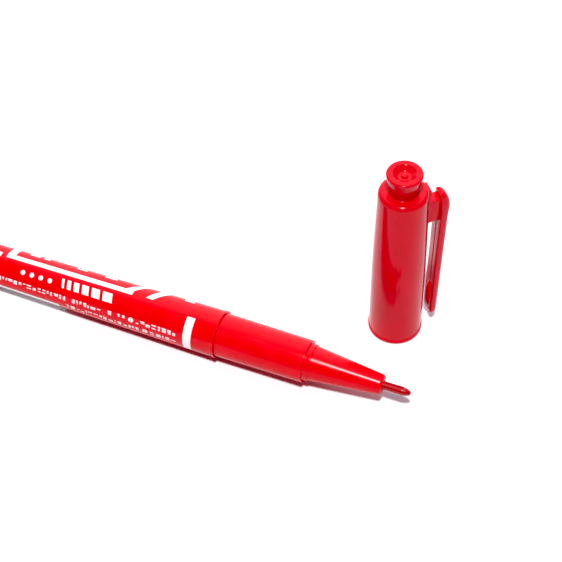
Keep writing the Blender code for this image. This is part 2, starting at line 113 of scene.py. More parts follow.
REAR_COLLAR_BASE_R = 4.0 * MM
REAR_COLLAR_TIP_R = 3.9 * MM
REAR_COLLAR_END = 10.0 * MM
REAR_LAND_R = 3.45 * MM
REAR_LAND_END = 11.2 * MM
REAR_MOUTH_BASE_R = 3.3 * MM
REAR_MOUTH_TIP_R = 3.05 * MM
REAR_MOUTH_END = 15.0 * MM
REAR_MOUTH_WALL = 3.0 * MM
REAR_BORE_R = 2.8 * MM

# Nibs
NIB_R = 0.95 * MM
NIB_ROOT_R = 0.9 * MM
NIB_TIP = 43.3 * MM
NIB_BULLET = 1.8 * MM
NIB_FLANK_RATIO = 0.84
NIB_FLANK_PLACE = 0.45
NIB_FLANK_ROUND = 0.6
NIB_POINT_R = 0.42 * MM
NIB_TAIL = -13.0 * MM
CHISEL_WIDTH = 4.6 * MM
CHISEL_THICKNESS = 2.6 * MM
CHISEL_TIP = 20.4 * MM
CHISEL_SLANT = 2.2 * MM
CHISEL_TAIL_WIDTH = 3.0 * MM
CHISEL_TAIL = -13.0 * MM
CHISEL_NECK = 8.0 * MM
CHISEL_SLACK = 0.12 * MM

# Caps, with their bores' (radius, height) in millimetres
CAP_LIP_R = 6.0 * MM
CAP_LIP_HEIGHT = 0.77 * MM
CAP_BASE_R = 5.84 * MM
CAP_BELLY_R = 5.7 * MM
CAP_BELLY = 23.0 * MM
CAP_BELLY_ROUND = 500.0 * MM
CAP_SHOULDER_R = 5.15 * MM
CAP_SHOULDER = 42.9 * MM
CAP_KNOB_BASE_R = 2.99 * MM
CAP_KNOB_TOP_R = 3.8 * MM
CAP_TOP = 47.85 * MM
CAP_BORE = ((5.3, 0.0), (5.15, 0.4), (4.85, 20.5), (4.25, 41.5), (2.3, 41.5), (2.3, 46.0), (0.0, 46.0))
REAR_CAP_SEAT = 0.3 * MM
REAR_CAP_BASE_R = 5.22 * MM
REAR_CAP_SHOULDER_R = 4.95 * MM
REAR_CAP_SHOULDER = 23.3 * MM
REAR_CAP_KNOB_BASE_R = 3.65 * MM
REAR_CAP_KNOB_TOP_R = 4.2 * MM
REAR_CAP_TOP = 27.5 * MM
REAR_CAP_BORE = ((4.42, 0.0), (4.3, 0.4), (4.3, 22.0), (0.0, 22.0))
SHOULDER_ROUND = 1.5 * MM
KNOB_ROUND = 0.35 * MM
DISH_RATIO = 0.64
DISH_SLOPE = 0.55
DISH_DEPTH = 0.9 * MM
DISH_ROUND = 0.6 * MM
NUB_RATIO = 0.18
NUB_HEIGHT = 0.5 * MM
NUB_EDGE_RATIO = 0.8

# Inner seals
SEAL_WALL = 0.32 * MM
SEAL_MOUTH = 20.7 * MM
SEAL_MOUTH_R = 4.48 * MM
SEAL_TIP_R = 1.95 * MM
SEAL_CONE_END = 41.0 * MM
SEAL_END = 45.4 * MM
REAR_SEAL_MOUTH = 10.3 * MM
REAR_SEAL_R = 4.0 * MM
REAR_SEAL_END = 21.7 * MM

# Clip, bridge, pad and rail, in (distance from the cap's axis, height)
CLIP_HALF = 2.1 * MM
CLIP_BOTTOM = 2.2 * MM
CLIP_CREST = 36.7 * MM
CLIP_CREST_R = 1.9 * MM
CLIP_CREST_RISE = 3.55 * MM
CLIP_CREST_CENTRE_R = 8.05 * MM
CLIP_BACK = 33.5 * MM
CLIP_BACK_R = 9.65 * MM
CLIP_INNER_BOTTOM_R = 7.6 * MM
CLIP_INNER_TOP_R = 7.85 * MM
CLIP_LIP = (7.6 * MM, 39.9 * MM)
CLIP_FOOT_R = 8.3 * MM
CLIP_HEEL_R = 9.1 * MM
CLIP_FOOT_ROUND = 1.1 * MM
CLIP_HEEL = 4.0 * MM
CLIP_CORNER = 0.9 * MM
CLIP_OUTER_ROUND = 0.95 * MM
CLIP_CREST_SOFTENING = 0.6 * MM
CLIP_INNER_ROUND = 0.14 * MM
CLIP_OUTER_LIMIT = 0.75
CLIP_INNER_LIMIT = 0.2
CLIP_HALF_LIMIT = 0.8
CLIP_FOOT_SWEEP = 80
CLIP_FOOT_STEP = 8
CLIP_LEG_STEPS = 44
CLIP_CREST_SWEEP = 85
CLIP_CREST_STEP = 5
CLIP_GROOVE_HALF = 0.22 * MM
CLIP_GROOVE_DEPTH = 0.35 * MM
CLIP_GROOVE_BOTTOM = 11.9 * MM
CLIP_GROOVE_TOP = 32.4 * MM
PIP_SIZE = (1.05 * MM, 1.4 * MM, 4.4 * MM)
PIP_PLACE = (7.9 * MM, 0, 7.4 * MM)
BRIDGE_HALF = 1.5 * MM
BRIDGE_BOTTOM = 32.6 * MM
BRIDGE_TOP = 38.8 * MM
BRIDGE_END_R = 8.05 * MM
ROOT_R = 4.8 * MM
PAD_END_R = 5.6 * MM
PAD_TOP = 42.2 * MM
RAIL_BOTTOM = 4.0 * MM
RAIL_BELLY = 14.0 * MM
RAIL_TOP = 33.0 * MM
RAIL_BOTTOM_R = 5.86 * MM
RAIL_TOP_R = 5.44 * MM
RAIL_ROOT_BOTTOM_R = 5.3 * MM
RAIL_ROOT_TOP_R = 4.9 * MM

# Print: its relief, its fineness in degrees and in steps, and its dashes in millimetres
INK_PROUD = 0.012 * MM
INK_SUNK = 0.03 * MM
INK_TURN_STEP = 4
DOT_STEPS = 20
PRINT_SEED = 7
DASH_LENGTHS = (0.45, 1.3)
DASH_GAPS = (0.18, 0.4)
DASH_INSET = 0.3
DASH_CHANCE = 0.72

# Camera: where it aims, from the barrel's front end, and how it stands to it
AIM_AHEAD = 4.474 * MM
AIM_ACROSS = 22.736 * MM
CAMERA_DISTANCE = 0.29535
CAMERA_HEIGHT_ANGLE = math.radians(50.455)
CAMERA_TURN = math.radians(24.03)
CAMERA_ROLL = math.radians(-2.425)
CAMERA_LENS = 81.74
CAMERA_SENSOR = 36.0

# Light, tone and floor
KEY_HEIGHT_ANGLE = math.radians(73)
KEY_TURN = math.radians(15)
KEY_STRENGTH = 3.75
KEY_SPREAD = math.radians(7.0)
KEY_COLOUR = (1.0, 0.98, 1.0)
SKY_LOW = 0.06
SKY_HIGH = 1.9
SKY_BRIGHT_FROM = 0.45
SKY_BRIGHT_HEIGHT_ANGLE = math.radians(35)
SKY_COLOUR = (0.96, 0.88, 1.0)
BLACK_LEVEL = (0.002, 0.013, 0.008)
FLOOR_SIZE = 20.0
FLOOR_DROP = 0.02 * MM

# Colours: each material wanders between two of them
RED = (0.64, 0.0015, 0.004)
BRIGHT_RED = (0.68, 0.002, 0.008)
CAP_RED = (0.56, 0.0015, 0.008)
CAP_BRIGHT_RED = (0.59, 0.002, 0.010)
WINE = (0.42, 0.002, 0.003)
DARK_WINE = (0.30, 0.001, 0.002)
PALE_WINE = (0.42, 0.006, 0.01)
INK_WHITE = (0.84, 0.83, 0.83)
INK_BRIGHT_WHITE = (0.9, 0.89, 0.89)
MILK = (0.82, 0.81, 0.77)
PALE_MILK = (0.88, 0.87, 0.84)
FILM = (0.7, 0.73, 0.76)
PALE_FILM = (0.82, 0.84, 0.86)
PAPER = (0.83, 0.83, 0.835)
PALE_PAPER = (0.85, 0.85, 0.85)

# A mix node's colour sockets, by number because the sockets for its other kinds have the same names
MIX_FACTOR = 0
MIX_FIRST = 6
MIX_SECOND = 7
MIX_RESULT = 2


# ---------------------------------------------------------------- frames

def frame_of(x_axis, z_axis, origin):
    """A placing matrix from its local X and Z axes and its origin."""
    y_axis = z_axis.cross(x_axis)
    matrix = Matrix((x_axis, y_axis, z_axis)).transposed().to_4x4()
    matrix.translation = origin
    return matrix


PEN_FRONT = frame_of(UP, Vector((1, 0, 0)), FRONT)
PEN_REAR = frame_of(UP, Vector((-1, 0, 0)), REAR)
REAR_CAP_PLACE = PEN_REAR @ Matrix.Translation((0, 0, REAR_CAP_SEAT))
CAP_PLACE = frame_of(CLIP_OUTWARD, UP, STAND)


# ---------------------------------------------------------------- mesh helpers

def rounded(corners, closed):
    """The outline through the corners, each turned into an arc of its own size."""
    points = []
    last = len(corners) - 1
    for index, (radius, height, size) in enumerate(corners):
        here = Vector((radius, height))
        if size == 0 or (not closed and index in (0, last)):
            points.append(here)
            continue
        back = Vector(corners[index - 1][:2]) - here
        ahead = Vector(corners[(index + 1) % len(corners)][:2]) - here
        half = back.angle(ahead) / 2
        reach = min(size / math.tan(half), ROUND_REACH * back.length, ROUND_REACH * ahead.length)
        size = reach * math.tan(half)
        back.normalize()
        ahead.normalize()
        centre = here + (back + ahead).normalized() * size / math.sin(half)
        start = here + back * reach - centre
        end = here + ahead * reach - centre
        first = math.atan2(start.y, start.x)
        sweep = math.remainder(math.atan2(end.y, end.x) - first, 2 * math.pi)
        for step in range(ROUND_STEPS + 1):
            turn = first + sweep * step / ROUND_STEPS
            points.append(centre + size * Vector((math.cos(turn), math.sin(turn))))
    return points


def supported(points, closed):
    """Adds a point near each end of every long run, so that smooth shading stays true on it."""
    dense = []
    runs = list(zip(points, points[1:]))
    if closed:
        runs.append((points[-1], points[0]))
    for start, end in runs:
        dense.append(start)
        length = (end - start).length
        if length > 4 * SUPPORT:
            dense.append(start.lerp(end, SUPPORT / length))
            dense.append(end.lerp(start, SUPPORT / length))
    if not closed:
        dense.append(points[-1])
    return dense


def to_mesh(edit, name):
    bmesh.ops.recalc_face_normals(edit, faces=edit.faces)
    mesh = bpy.data.meshes.new(name)
    edit.to_mesh(mesh)
    edit.free()
    mesh.shade_smooth()
    return mesh


def new_piece(name, mesh, place):
    piece = bpy.data.objects.new(name, mesh)
    bpy.context.scene.collection.objects.link(piece)
    piece.matrix_world = place
    return piece


def bridge(edit, first, second):
    """Faces between two rings, either of which may be a single point on the axis."""
    count = max(len(first), len(second))
    for step in range(count):
        after = (step + 1) % count
        corners = [first[step % len(first)], first[after % len(first)],
                   second[after % len(second)], second[step % len(second)]]
        once_each = list(dict.fromkeys(corners))
        edit.faces.new(once_each)


def turned_mesh(name, corners, closed=True):
    """Spins a rounded outline round local Z. An open one starts and ends on the axis."""
    edit = bmesh.new()
    rings = []
    for radius, height in supported(rounded(corners, closed), closed):
        if radius < TINY:
            rings.append([edit.verts.new((0, 0, height))])
            continue
        ring = []
        for step in range(TURN_STEPS):
            angle = 2 * math.pi * step / TURN_STEPS
            ring.append(edit.verts.new((radius * math.cos(angle), radius * math.sin(angle), height)))
        rings.append(ring)
    for first, second in zip(rings, rings[1:]):
        bridge(edit, first, second)
    if closed:
        bridge(edit, rings[-1], rings[0])
    return to_mesh(edit, name)


def rounded_block(name, low, high, size, place):
    """A block between two corners with rounded edges."""
    edit = bmesh.new()
    bmesh.ops.create_cube(edit, size=1.0)
    bmesh.ops.scale(edit, vec=[top - bottom for bottom, top in zip(low, high)], verts=edit.verts)
    bmesh.ops.translate(edit, vec=[(top + bottom) / 2 for bottom, top in zip(low, high)],
                        verts=edit.verts)
    bmesh.ops.bevel(edit, geom=edit.edges, offset=size, segments=ROUND_STEPS, profile=0.5,
                    affect="EDGES")
    return new_piece(name, to_mesh(edit, name), place)


def prism(name, outline, sweep, size, segments, place):
    """A flat outline of corners, swept along a vector, with rounded edges."""
    edit = bmesh.new()
    face = edit.faces.new([edit.verts.new(corner) for corner in outline])
    swept = bmesh.ops.extrude_face_region(edit, geom=[face])
    moved = [item for item in swept["geom"] if isinstance(item, bmesh.types.BMVert)]
    bmesh.ops.translate(edit, vec=sweep, verts=moved)
    bmesh.ops.recalc_face_normals(edit, faces=edit.faces)
    bmesh.ops.bevel(edit, geom=edit.edges, offset=size, segments=segments, profile=0.5, affect="EDGES")
    return new_piece(name, to_mesh(edit, name), place)


def combine(piece, tool, operation):
    """Joins or cuts a piece with a tool, which is used up."""
    boolean = piece.modifiers.new("combine", "BOOLEAN")
    boolean.operation = operation
    boolean.solver = "EXACT"
    boolean.object = tool
    bpy.context.view_layer.update()
    depsgraph = bpy.context.evaluated_depsgraph_get()
    mesh = bpy.data.meshes.new_from_object(piece.evaluated_get(depsgraph))
    piece.modifiers.clear()
    piece.data = mesh
    bpy.data.objects.remove(tool, do_unlink=True)
    mesh.set_sharp_from_angle(angle=SHARP_ANGLE)


def paint(mesh, material):
    """Gives a mesh one material and no other."""
    mesh.materials.clear()
    mesh.materials.append(material)


def finish_piece(piece, material, body, node=None):
    """Gives a piece its material and its body, and hides the CAD node that it stands for."""
    paint(piece.data, material)
    if body == "cap":
        piece.data.transform(piece.matrix_world)
        piece.matrix_world = Matrix.Identity(4)
    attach(piece, body)
    if node:
        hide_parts(node)


# ---------------------------------------------------------------- materials

class Look:
    """A material under construction: its node tree, its shader and its coordinates."""

    def __init__(self, name):
        self.material = bpy.data.materials.new(name)
        self.material.use_nodes = True
        self.tree = self.material.node_tree
        self.shader = self.tree.nodes["Principled BSDF"]
        self.place = self.tree.nodes.new("ShaderNodeTexCoord").outputs["Object"]

    def feed(self, socket, value):
        """Links another node's output to a socket, or gives it a plain value."""
        if isinstance(value, bpy.types.NodeSocket):
            self.tree.links.new(value, socket)
        else:
            socket.default_value = value

    def set(self, key, value):
        """Feeds an input of the shader itself."""
        self.feed(self.shader.inputs[key], value)

    def node(self, kind, inputs, **settings):
        """Adds a node with its settings, and feeds its inputs."""
        made = self.tree.nodes.new(kind)
        for key, value in settings.items():
            setattr(made, key, value)
        for key, value in inputs.items():
            self.feed(made.inputs[key], value)
        return made

    def noise(self, size, stretch=(1, 1, 1), detail=2.0):
        """Noise whose patches are about size metres across, drawn out along an axis by stretch."""
        scale = tuple(1 / (size * factor) for factor in stretch)
        mapping = self.node("ShaderNodeMapping", {"Vector": self.place, "Scale": scale})
        texture = self.node("ShaderNodeTexNoise", {"Vector": mapping.outputs["Vector"], "Scale": 1.0,
                                                   "Detail": detail})
        return texture.outputs["Fac"]

    def spread(self, value, low, high, start=0.35, end=0.65):
        """Maps a noise's middle range, where most of its values lie, onto low to high."""
        mapped = self.node("ShaderNodeMapRange", {"Value": value, "From Min": start, "From Max": end,
                                                  "To Min": low, "To Max": high})
        return mapped.outputs["Result"]

    def colour(self, value, first, second):
        """Colours the surface between two colours, as a noise goes."""
        inputs = {MIX_FACTOR: self.spread(value, 0.0, 1.0), MIX_FIRST: (*first, 1.0),
                  MIX_SECOND: (*second, 1.0)}
        mix = self.node("ShaderNodeMix", inputs, data_type="RGBA")
        self.set("Base Color", mix.outputs[MIX_RESULT])

    def bump(self, height, depth, normal=None):
        """Relief whose height runs over depth metres."""
        inputs = {"Height": height, "Distance": depth, "Strength": 1.0}
        if normal:
            inputs["Normal"] = normal
        return self.node("ShaderNodeBump", inputs).outputs["Normal"]


def plastic(name, first, second, roughness, specular, sink):
    """Glossy moulded plastic: cloudy pigment, shallow sinks, fine peel, and rub marks along it."""
    look = Look(name)
    look.colour(look.noise(4 * MM), first, second)
    rub = look.noise(0.25 * MM, stretch=(1, 1, 24), detail=3.0)
    look.set("Roughness", look.spread(rub, roughness, roughness * 1.5, 0.5, 0.75))
    look.set("Specular IOR Level", specular)
    relief = look.bump(look.noise(9 * MM, stretch=(1, 1, 1.6), detail=0.0), sink)
    relief = look.bump(look.noise(0.5 * MM), 0.0006 * MM, relief)
    look.set("Normal", look.bump(rub, 0.0004 * MM, relief))
    return look.material


def inked_fibre(name, first, second, wet):
    """Bonded fibres drawn along the nib, soaked with ink."""
    look = Look(name)
    fibre = look.noise(0.09 * MM, stretch=(1, 1, 14), detail=3.0)
    look.colour(fibre, first, second)
    look.set("Roughness", look.spread(look.noise(0.5 * MM), 0.3, 0.5))
    look.set("Coat Weight", wet)
    look.set("Coat Roughness", 0.16)
    look.set("Specular IOR Level", 0.15)
    look.set("Normal", look.bump(fibre, 0.012 * MM))
    return look.material


def white_ink():
    """Slightly grainy screen print."""
    look = Look("white_print_ink")
    grain = look.noise(0.12 * MM)
    look.colour(grain, INK_WHITE, INK_BRIGHT_WHITE)
    look.set("Roughness", look.spread(grain, 0.3, 0.42))
    look.set("Specular IOR Level", 0.3)
    look.set("Normal", look.bump(grain, 0.001 * MM))
    return look.material


def milky_plastic():
    """Soft cloudy plastic that lets some light in."""
    look = Look("milky_plastic")
    cloud = look.noise(2 * MM)
    look.colour(cloud, MILK, PALE_MILK)
    look.set("Roughness", look.spread(look.noise(0.4 * MM), 0.28, 0.4))
    look.set("Subsurface Weight", 0.2)
    look.set("Subsurface Scale", 0.6 * MM)
    look.set("Normal", look.bump(cloud, 0.004 * MM))
    return look.material


def clear_film():
    """Thin pale film, creased lengthwise."""
    look = Look("clear_film")
    crease = look.noise(1.2 * MM, stretch=(1, 1, 8))
    look.colour(crease, FILM, PALE_FILM)
    look.set("Roughness", look.spread(crease, 0.12, 0.25))
    look.set("Normal", look.bump(crease, 0.02 * MM))
    return look.material


def floor_paper():
    """Plain pale matt paper."""
    look = Look("floor_paper")
    grain = look.noise(0.6 * MM, detail=3.0)
    look.colour(grain, PAPER, PALE_PAPER)
    look.set("Roughness", 0.9)
    look.set("Specular IOR Level", 0.1)
    look.set("Normal", look.bump(grain, 0.004 * MM))
    return look.material


# ---------------------------------------------------------------- the pen's pieces

def add_barrel(material):
    corners = [
        (BARREL_BORE_R, 0, 0),
        (BARREL_LIP_R, 0, SHARP / 2),
        (BARREL_LIP_R, -BARREL_LIP_LENGTH, SHARP),
        (BARREL_FRONT_R, -BARREL_LIP_LENGTH - SHARP / 2, 0),
        (BARREL_REAR_R, -BARREL_LENGTH, SOFT),
        (BARREL_BORE_R, -BARREL_LENGTH, 0),
    ]
    piece = new_piece("barrel_tube", turned_mesh("barrel_tube", corners), PEN_FRONT)
    finish_piece(piece, material, "pen", "barrel")


def add_front_section(material):
    corners = [
        (NIB_HOLE_R, CONE_END, SHARP / 2),
        (CONE_TIP_R, CONE_END, CONE_ROUND),
        (CONE_BASE_R, LAND_END, SHARP / 2),
        (LAND_R, LAND_END, SHARP),
        (LAND_R, COLLAR_END, SHARP / 2),
        (COLLAR_TIP_R, COLLAR_END, SHARP),
        (COLLAR_BASE_R, SEAT, SHARP / 2),
        (SPIGOT_R, SEAT, 0),
        (SPIGOT_R, -SPIGOT_LENGTH, SOFT),
        (SPIGOT_BORE_R, -SPIGOT_LENGTH, SHARP),
        (SPIGOT_BORE_R, 2 * SECTION_WALL, 0),
        (COLLAR_BASE_R - SECTION_WALL, 3 * SECTION_WALL, SOFT),
        (COLLAR_TIP_R - SECTION_WALL, COLLAR_END - 2 * SECTION_WALL, SOFT),
        (CONE_BASE_R - SECTION_WALL, LAND_END, SOFT),
        (NIB_HOLE_R, CONE_END - NIB_HOLE_DEPTH, SOFT),
    ]
    piece = new_piece("cone_section", turned_mesh("cone_section", corners), PEN_FRONT)
    finish_piece(piece, material, "pen", "front_section")


def add_fine_nib(material):
    """A rod that swells a little towards a worn bullet end."""
    shoulder = NIB_TIP - NIB_BULLET
    flank_round = NIB_BULLET * NIB_FLANK_ROUND
    corners = [
        (0, NIB_TIP, 0),
        (NIB_POINT_R, NIB_TIP, NIB_POINT_R),
        (NIB_R * NIB_FLANK_RATIO, shoulder + NIB_BULLET * NIB_FLANK_PLACE, flank_round),
        (NIB_R, shoulder, flank_round),
        (NIB_ROOT_R, CONE_END, 0),
        (NIB_ROOT_R, NIB_TAIL, SHARP),
        (0, NIB_TAIL, 0),
    ]
    piece = new_piece("bullet_nib", turned_mesh("bullet_nib", corners, closed=False), PEN_FRONT)
    finish_piece(piece, material, "pen", "fine_nib")


def chisel_prism(name, corners, thickness, size):
    """A flat outline of (across, along) corners, as thick as given and centred on the axis."""
    outline = [(thickness / 2, across, along) for across, along in corners]
    return prism(name, outline, (-thickness, 0, 0), size, ROUND_STEPS, PEN_REAR)


def add_rear_section(material):
    corners = [
        (0, REAR_MOUTH_END, 0),
        (REAR_MOUTH_TIP_R, REAR_MOUTH_END, SOFT),
        (REAR_MOUTH_BASE_R, REAR_LAND_END, SHARP / 2),
        (REAR_LAND_R, REAR_LAND_END, SHARP / 2),
        (REAR_LAND_R, REAR_COLLAR_END, SHARP / 2),
        (REAR_COLLAR_TIP_R, REAR_COLLAR_END, SHARP),
        (REAR_COLLAR_BASE_R, SEAT, SHARP / 2),
        (SPIGOT_R, SEAT, 0),
        (SPIGOT_R, -SPIGOT_LENGTH, SOFT),
        (SPIGOT_BORE_R, -SPIGOT_LENGTH, SHARP),
        (SPIGOT_BORE_R, 2 * SECTION_WALL, 0),
        (REAR_BORE_R, 3 * SECTION_WALL, SOFT),
        (REAR_BORE_R, REAR_MOUTH_END - REAR_MOUTH_WALL, SOFT),
        (0, REAR_MOUTH_END - REAR_MOUTH_WALL, 0),
    ]
    piece = new_piece("mouth_section", turned_mesh("mouth_section", corners, closed=False), PEN_REAR)
    half = CHISEL_WIDTH / 2 + CHISEL_SLACK
    slot = [(-half, CHISEL_NECK), (half, CHISEL_NECK), (half, CHISEL_TIP), (-half, CHISEL_TIP)]
    tool = chisel_prism("slot_tool", slot, CHISEL_THICKNESS + 2 * CHISEL_SLACK, SHARP)
    combine(piece, tool, "DIFFERENCE")
    finish_piece(piece, material, "pen", "rear_section")


def add_chisel_nib(material):
    half = CHISEL_WIDTH / 2
    tail = CHISEL_TAIL_WIDTH / 2
    corners = [
        (-half, CHISEL_TIP - CHISEL_SLANT),
        (-half, CHISEL_NECK),
        (-tail, CHISEL_NECK - half),
        (-tail, CHISEL_TAIL),
        (tail, CHISEL_TAIL),
        (tail, CHISEL_NECK - half),
        (half, CHISEL_NECK),
        (half, CHISEL_TIP),
    ]
    piece = chisel_prism("slanted_nib", corners, CHISEL_THICKNESS, SOFT)
    finish_piece(piece, material, "pen", "chisel_nib")


# ---------------------------------------------------------------- the caps' pieces

def cap_corners(lip_r, base_r, belly, shoulder_r, shoulder, knob_base_r, knob_top_r, top, bore):
    """A cap's outline: dished knob with a moulding nub, shoulder, wall and rim, then its inside."""
    dish_r = knob_top_r * DISH_RATIO
    nub_r = knob_top_r * NUB_RATIO
    floor = top - DISH_DEPTH
    outside = [
        (0, floor + NUB_HEIGHT, 0),
        (nub_r, floor + NUB_HEIGHT * NUB_EDGE_RATIO, NUB_HEIGHT),
        (nub_r, floor, SHARP / 2),
        (dish_r * DISH_SLOPE, floor, DISH_ROUND),
        (dish_r, top, 2 * SHARP),
        (knob_top_r, top, KNOB_ROUND),
        (knob_base_r, shoulder, SHARP),
        (shoulder_r, shoulder, SHOULDER_ROUND),
        *belly,
        (base_r, CAP_LIP_HEIGHT + SHARP, 0),
        (lip_r, CAP_LIP_HEIGHT, SHARP),
        (lip_r, 0, SHARP),
    ]
    return outside + [(radius * MM, height * MM, SHARP) for radius, height in bore]


def rail_tool():
    """The raised rail that runs down the cap's wall behind the clip."""
    corners = [
        (RAIL_ROOT_TOP_R, RAIL_TOP),
        (RAIL_TOP_R, RAIL_TOP),
        (RAIL_BOTTOM_R - SUPPORT, RAIL_BELLY),
        (RAIL_BOTTOM_R, RAIL_BOTTOM),
        (RAIL_ROOT_BOTTOM_R, RAIL_BOTTOM),
    ]
    outline = [(radius, SHARP - BRIDGE_HALF, height) for radius, height in corners]
    return prism("rail_tool", outline, (0, 2 * (BRIDGE_HALF - SHARP), 0), SHARP, 2, CAP_PLACE)


def add_front_cap(material):
    belly = [(CAP_BELLY_R, CAP_BELLY, CAP_BELLY_ROUND)]
    corners = cap_corners(CAP_LIP_R, CAP_BASE_R, belly, CAP_SHOULDER_R, CAP_SHOULDER,
                          CAP_KNOB_BASE_R, CAP_KNOB_TOP_R, CAP_TOP, CAP_BORE)
    piece = new_piece("clip_cap", turned_mesh("clip_cap", corners, closed=False), CAP_PLACE)
    pad = rounded_block("pad_tool", (ROOT_R, -BRIDGE_HALF, BRIDGE_BOTTOM),
                        (PAD_END_R, BRIDGE_HALF, PAD_TOP), SOFT, CAP_PLACE)
    combine(piece, pad, "UNION")
    arm = rounded_block("arm_tool", (ROOT_R, SHARP - BRIDGE_HALF, BRIDGE_BOTTOM + SHARP),
                        (BRIDGE_END_R, BRIDGE_HALF - SHARP, BRIDGE_TOP), SHARP, CAP_PLACE)
    combine(piece, arm, "UNION")
    combine(piece, rail_tool(), "UNION")
    finish_piece(piece, material, "cap", "front_cap")


def add_rear_cap(material):
    corners = cap_corners(BARREL_LIP_R, REAR_CAP_BASE_R, [], REAR_CAP_SHOULDER_R, REAR_CAP_SHOULDER,
                          REAR_CAP_KNOB_BASE_R, REAR_CAP_KNOB_TOP_R, REAR_CAP_TOP, REAR_CAP_BORE)
    piece = new_piece("plain_cap", turned_mesh("plain_cap", corners, closed=False), REAR_CAP_PLACE)
    finish_piece(piece, material, "rear_cap", "rear_cap")


def cup_corners(outer):
    """A thin cup's outline, from its outer (radius, height) corners, closed end first."""
    inner = [(radius - SEAL_WALL, height) for radius, height in reversed(outer[1:])]
    inner[-1] = (inner[-1][0], inner[-1][1] - SEAL_WALL)
    closed_end = inner[-1][1]
    sides = [(radius, height, SHARP) for radius, height in outer[1:] + inner]
    return [(0, outer[0][1], 0)] + sides + [(0, closed_end, 0)]


def add_seals(material):
    front = [(0, SEAL_END), (SEAL_TIP_R, SEAL_END), (SEAL_TIP_R, SEAL_CONE_END),
             (SEAL_MOUTH_R, SEAL_MOUTH + SECTION_WALL), (SEAL_MOUTH_R, SEAL_MOUTH)]
    rear = [(0, REAR_SEAL_END), (REAR_SEAL_R, REAR_SEAL_END), (REAR_SEAL_R, REAR_SEAL_MOUTH)]
    rows = [
        ("inner_cup", front, CAP_PLACE, "cap", "front_cap_seal"),
        ("rear_inner_cup", rear, REAR_CAP_PLACE, "rear_cap", "rear_cap_seal"),
    ]
    for name, outer, place, body, node in rows:
        piece = new_piece(name, turned_mesh(name, cup_corners(outer), closed=False), place)
        finish_piece(piece, material, body, node)


# ---------------------------------------------------------------- the clip

def clip_outer_r(height):
    """The outer face's distance from the cap's axis, up to the crest."""
    rise = (CLIP_BACK_R - CLIP_HEEL_R) / (CLIP_BACK - CLIP_HEEL)
    if height < CLIP_BACK:
        return CLIP_HEEL_R + rise * (height - CLIP_HEEL)
    span = CLIP_CREST - CLIP_BACK
    share = (height - CLIP_BACK) / span
    bulge = CLIP_CREST_CENTRE_R + CLIP_CREST_R - CLIP_BACK_R
    return CLIP_BACK_R + bulge * share ** 2 * (3 - 2 * share) + rise * span * share * (1 - share) ** 2


def clip_inner_r(height):
    """The inner face's distance from the cap's axis."""
    share = (height - CLIP_BOTTOM) / (BRIDGE_TOP - CLIP_BOTTOM)
    return CLIP_INNER_BOTTOM_R + (CLIP_INNER_TOP_R - CLIP_INNER_BOTTOM_R) * share


def clip_foot():
    """(inner point, outer point, half width) of each cross-section up to the heel."""
    stations = []
    for angle in range(CLIP_FOOT_SWEEP, 0, -CLIP_FOOT_STEP):
        turn = math.radians(angle)
        height = CLIP_BOTTOM + (CLIP_HEEL - CLIP_BOTTOM) * (1 - math.sin(turn))
        outer_r = CLIP_FOOT_R + (CLIP_HEEL_R - CLIP_FOOT_R) * math.cos(turn)
        short = max(0, CLIP_BOTTOM + CLIP_FOOT_ROUND - height)
        narrowing = CLIP_FOOT_ROUND - math.sqrt(CLIP_FOOT_ROUND ** 2 - short ** 2)
        stations.append(((clip_inner_r(height), height), (outer_r, height), CLIP_HALF - narrowing))
    return stations


def clip_leg():
    """The same from the heel to the crest."""
    stations = []
    for step in range(CLIP_LEG_STEPS):
        height = CLIP_HEEL + (CLIP_CREST - CLIP_HEEL) * step / CLIP_LEG_STEPS
        stations.append(((clip_inner_r(height), height), (clip_outer_r(height), height), CLIP_HALF))
    return stations


def clip_crest():
    """The same over the crest, to the lip that lies on the bridge."""
    stations = []
    start = (clip_inner_r(CLIP_CREST), CLIP_CREST)
    for angle in range(0, CLIP_CREST_SWEEP + 1, CLIP_CREST_STEP):
        turn = math.radians(angle)
        outer = (CLIP_CREST_CENTRE_R + CLIP_CREST_R * math.cos(turn),
                 CLIP_CREST + CLIP_CREST_RISE * math.sin(turn))
        share = angle / CLIP_CREST_SWEEP
        inner = tuple(a + (b - a) * share for a, b in zip(start, CLIP_LIP))
        narrowing = CLIP_CORNER * (1 - math.cos(turn))
        stations.append((inner, outer, CLIP_HALF - narrowing))
    return stations


def clip_ring(edit, inner, outer, half):
    """One cross-section: a rounded rectangle between the inner and the outer point."""
    inner = Vector(inner)
    outer = Vector(outer)
    depth = (outer - inner).length
    softening = max(0, (outer.y - CLIP_BACK) / (CLIP_CREST + CLIP_CREST_RISE - CLIP_BACK))
    outer_round = min(CLIP_OUTER_ROUND + CLIP_CREST_SOFTENING * softening,
                      CLIP_OUTER_LIMIT * depth, CLIP_HALF_LIMIT * half)
    inner_round = min(CLIP_INNER_ROUND, CLIP_INNER_LIMIT * depth, CLIP_HALF_LIMIT * half)
    corners = [(depth, half, outer_round, 0), (0, half, inner_round, 90),
               (0, -half, inner_round, 180), (depth, -half, outer_round, 270)]
    ring = []
    for reach, across, size, start in corners:
        centre = (reach - size if reach else size, across - math.copysign(size, across))
        for step in range(ROUND_STEPS + 1):
            turn = math.radians(start + 90 * step / ROUND_STEPS)
            along = centre[0] + size * math.cos(turn)
            side = centre[1] + size * math.sin(turn)
            point = inner.lerp(outer, along / depth)
            ring.append(edit.verts.new((point.x, side, point.y)))
    return ring


